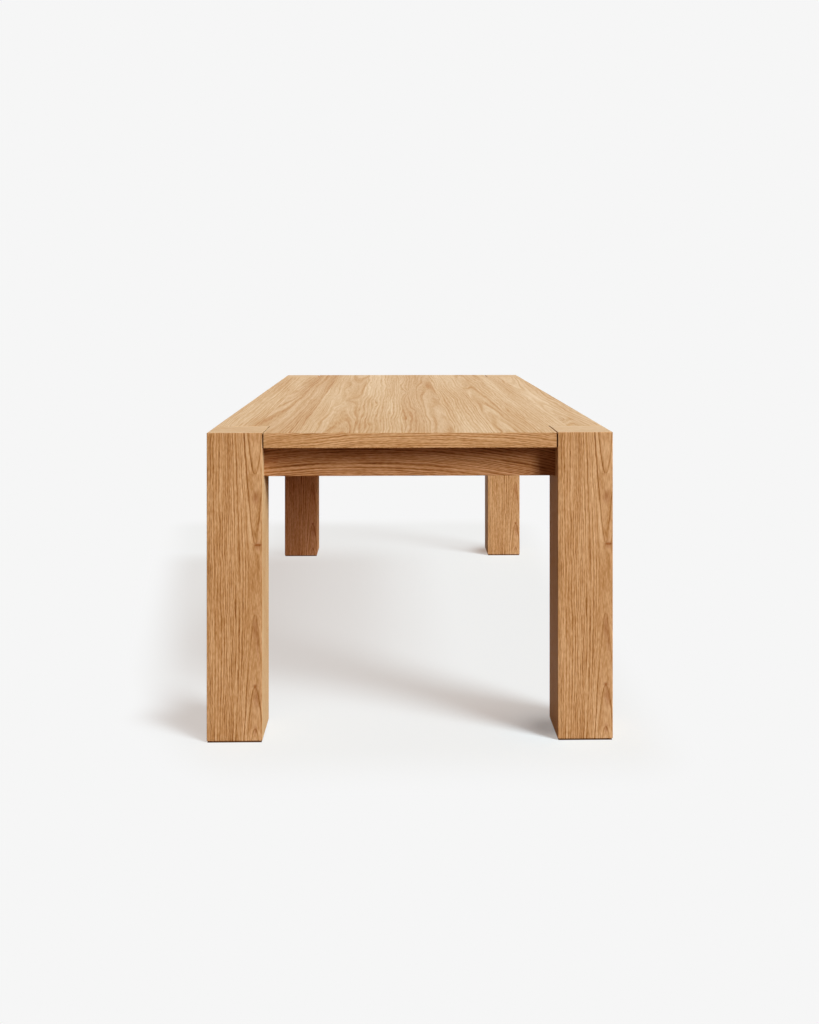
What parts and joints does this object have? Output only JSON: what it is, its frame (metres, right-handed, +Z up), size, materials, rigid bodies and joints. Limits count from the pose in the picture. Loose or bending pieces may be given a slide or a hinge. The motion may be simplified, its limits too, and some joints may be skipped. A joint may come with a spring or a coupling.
{
  "type": "parsons dining table",
  "caption": "Rectangular oak dining table with square box legs at the corners, flush with a notched top, on a set-back rail frame bolted to the legs.",
  "frame": {"origin": "on the floor under the middle of the table", "axes": "+X across the table's width, +Y along its length, +Z up; the front end is at -Y"},
  "size_m": [1, 2, 0.76],
  "materials": {
    "leg_oak": "oiled oak, satin",
    "top_oak": "oiled oak, satin, grain along the table",
    "lipping_oak": "oiled oak, satin",
    "rail_oak": "oiled oak, satin",
    "core_board": "plain fibreboard",
    "block_softwood": "planed softwood, bare",
    "dowel_beech": "fluted beech, bare",
    "bracket_steel": "zinc plated, dull",
    "fastener_steel": "zinc plated, bright",
    "insert_brass": "turned brass",
    "glide_nylon": "dark nylon, matt"
  },
  "bodies": {
    "root": {"leg_front_left_cap": "leg_oak", "leg_front_left_outer_side_panel": "leg_oak", "leg_front_left_outer_end_panel": "leg_oak", "leg_front_left_inner_side_panel": "leg_oak", "leg_front_left_inner_end_panel": "leg_oak", "leg_front_left_head_block": "block_softwood", "leg_front_left_foot_block": "block_softwood", "leg_front_right_cap": "leg_oak", "leg_front_right_outer_side_panel": "leg_oak", "leg_front_right_outer_end_panel": "leg_oak", "leg_front_right_inner_side_panel": "leg_oak", "leg_front_right_inner_end_panel": "leg_oak", "leg_front_right_head_block": "block_softwood", "leg_front_right_foot_block": "block_softwood", "leg_back_left_cap": "leg_oak", "leg_back_left_outer_side_panel": "leg_oak", "leg_back_left_outer_end_panel": "leg_oak", "leg_back_left_inner_side_panel": "leg_oak", "leg_back_left_inner_end_panel": "leg_oak", "leg_back_left_head_block": "block_softwood", "leg_back_left_foot_block": "block_softwood", "leg_back_right_cap": "leg_oak", "leg_back_right_outer_side_panel": "leg_oak", "leg_back_right_outer_end_panel": "leg_oak", "leg_back_right_inner_side_panel": "leg_oak", "leg_back_right_inner_end_panel": "leg_oak", "leg_back_right_head_block": "block_softwood", "leg_back_right_foot_block": "block_softwood", "top_stave_1": "top_oak", "top_stave_2": "top_oak", "top_stave_3": "top_oak", "top_stave_4": "top_oak", "top_stave_5": "top_oak", "top_stave_6": "top_oak", "top_stave_7": "top_oak", "top_stave_8": "top_oak", "top_stave_9": "top_oak", "end_lipping_front": "lipping_oak", "end_lipping_back": "lipping_oak", "side_lipping_left": "lipping_oak", "side_lipping_right": "lipping_oak", "notch_lippings": "lipping_oak", "top_core": "core_board", "top_backing": "rail_oak", "end_rail_front": "rail_oak", "end_rail_back": "rail_oak", "side_rail_left": "rail_oak", "side_rail_right": "rail_oak", "cross_rail_front": "block_softwood", "cross_rail_back": "block_softwood", "rail_cleats": "block_softwood", "rail_dowels": "dowel_beech", "corner_brackets": "bracket_steel", "bracket_bolts": "fastener_steel", "bolt_washers": "fastener_steel", "bracket_screws": "fastener_steel", "top_screws": "fastener_steel", "foot_glide_screws": "fastener_steel", "threaded_inserts": "insert_brass", "foot_glides": "glide_nylon"}
  },
  "joints": []
}
